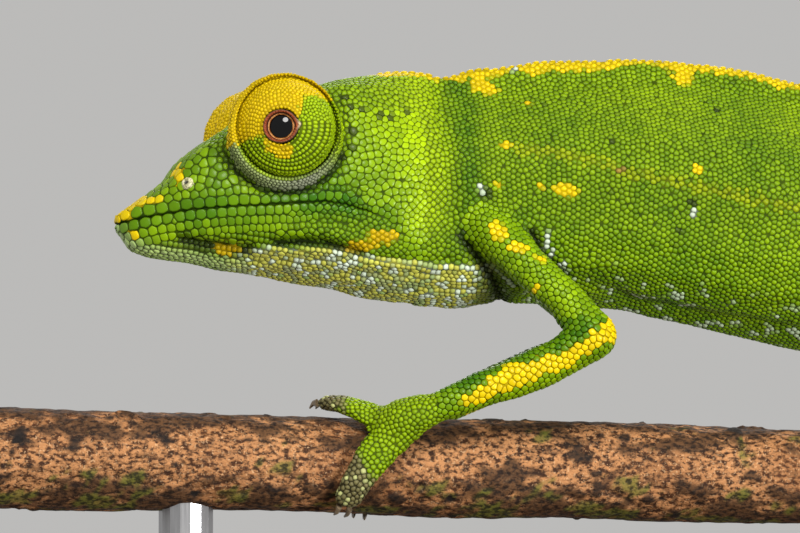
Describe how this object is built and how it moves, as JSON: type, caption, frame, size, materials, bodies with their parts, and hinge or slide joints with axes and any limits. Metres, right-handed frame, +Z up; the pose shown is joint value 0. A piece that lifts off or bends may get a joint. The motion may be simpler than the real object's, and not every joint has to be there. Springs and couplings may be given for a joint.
{
  "type": "chameleon",
  "caption": "Small green chameleon with low casque and coiled tail, gripping a cut branch held by two rods on a flat display base.",
  "frame": {"origin": "centre of the underside of the display base, on the surface it stands on", "axes": "+Z up, the animal faces -Y along the length of the base, and its left side is +X"},
  "size_m": [0.046, 0.118, 0.05],
  "materials": {
    "hide": "small rounded green scales with yellow and white marks",
    "eye": "wet, black pupil in a thin golden iris",
    "claw": "dull horn",
    "bark": "rough tan bark with dark pits",
    "base_wood": "dark stained, satin",
    "rod_steel": "brushed"
  },
  "bodies": {
    "root": {"eye_turret_left": "hide", "eye_turret_right": "hide", "eyeball_left": "eye", "eyeball_right": "eye", "forefoot_left_claw_1": "claw", "forefoot_left_claw_2": "claw", "forefoot_left_claw_3": "claw", "forefoot_left_claw_4": "claw", "forefoot_left_claw_5": "claw", "forefoot_left_inner_toes": "hide", "forefoot_left_outer_toes": "hide", "forefoot_left_palm": "hide", "forefoot_right_claw_1": "claw", "forefoot_right_claw_2": "claw", "forefoot_right_claw_3": "claw", "forefoot_right_claw_4": "claw", "forefoot_right_claw_5": "claw", "forefoot_right_inner_toes": "hide", "forefoot_right_outer_toes": "hide", "forefoot_right_palm": "hide", "foreleg_left_lower": "hide", "foreleg_left_upper": "hide", "foreleg_right_lower": "hide", "foreleg_right_upper": "hide", "head": "hide", "hindfoot_left_claw_1": "claw", "hindfoot_left_claw_2": "claw", "hindfoot_left_claw_3": "claw", "hindfoot_left_claw_4": "claw", "hindfoot_left_claw_5": "claw", "hindfoot_left_inner_toes": "hide", "hindfoot_left_outer_toes": "hide", "hindfoot_left_palm": "hide", "hindfoot_right_claw_1": "claw", "hindfoot_right_claw_2": "claw", "hindfoot_right_claw_3": "claw", "hindfoot_right_claw_4": "claw", "hindfoot_right_claw_5": "claw", "hindfoot_right_inner_toes": "hide", "hindfoot_right_outer_toes": "hide", "hindfoot_right_palm": "hide", "hindleg_left_lower": "hide", "hindleg_left_upper": "hide", "hindleg_right_lower": "hide", "hindleg_right_upper": "hide", "lower_jaw": "hide", "neck": "hide", "perch": "bark", "stand_base": "base_wood", "stand_rod_front": "rod_steel", "stand_rod_rear": "rod_steel", "tail_1": "hide", "tail_2": "hide", "tail_3": "hide", "tail_4": "hide", "tail_5": "hide", "trunk_front": "hide", "trunk_rear": "hide"}
  },
  "joints": []
}
